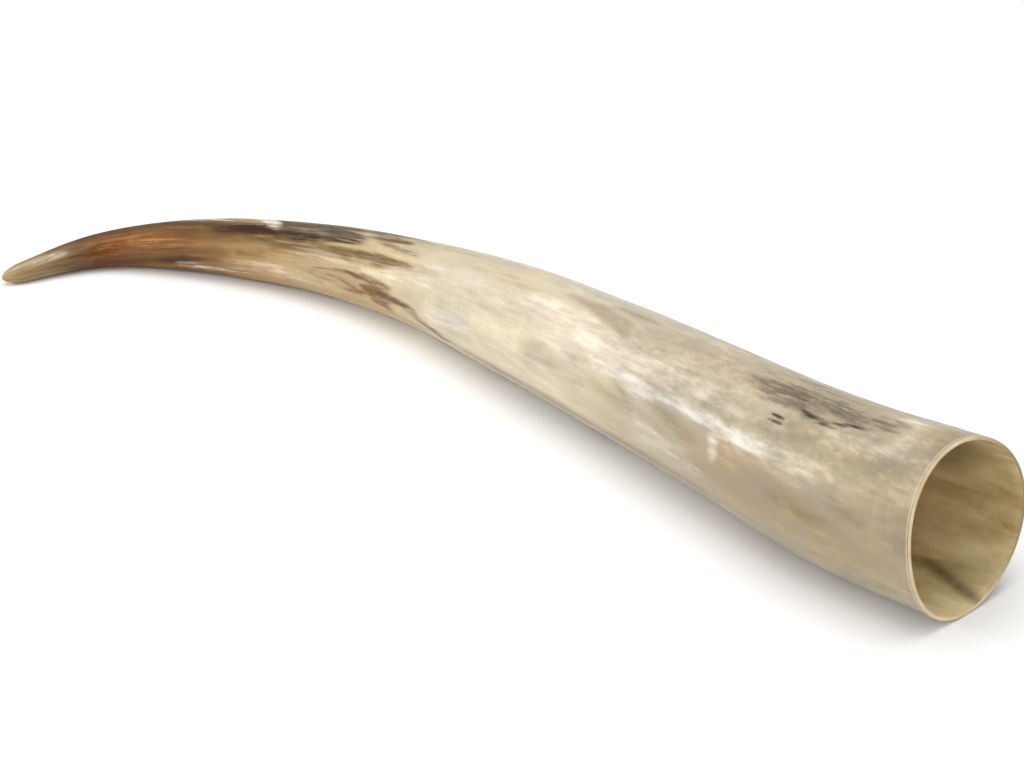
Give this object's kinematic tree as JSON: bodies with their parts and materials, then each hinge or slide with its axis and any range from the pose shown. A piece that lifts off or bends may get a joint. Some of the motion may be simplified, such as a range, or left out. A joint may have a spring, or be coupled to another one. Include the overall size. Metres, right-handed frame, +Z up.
{
  "type": "bull horn",
  "caption": "Long polished bull horn lying on its side, hollow from the sawn open base and solid towards the curved tip; a display piece or a blank for a cup or blowing horn.",
  "frame": {"origin": "under the middle of the horn's box, on the surface that the horn lies on", "axes": "+X along the straight run of the horn towards its open sawn base, +Z up, the tip curls round towards -Y"},
  "size_m": [0.566, 0.2156, 0.0864],
  "materials": {
    "polished_horn": "polished natural horn, cream with grey and brown streaks"
  },
  "bodies": {
    "root": {"horn": "polished_horn"}
  },
  "joints": []
}
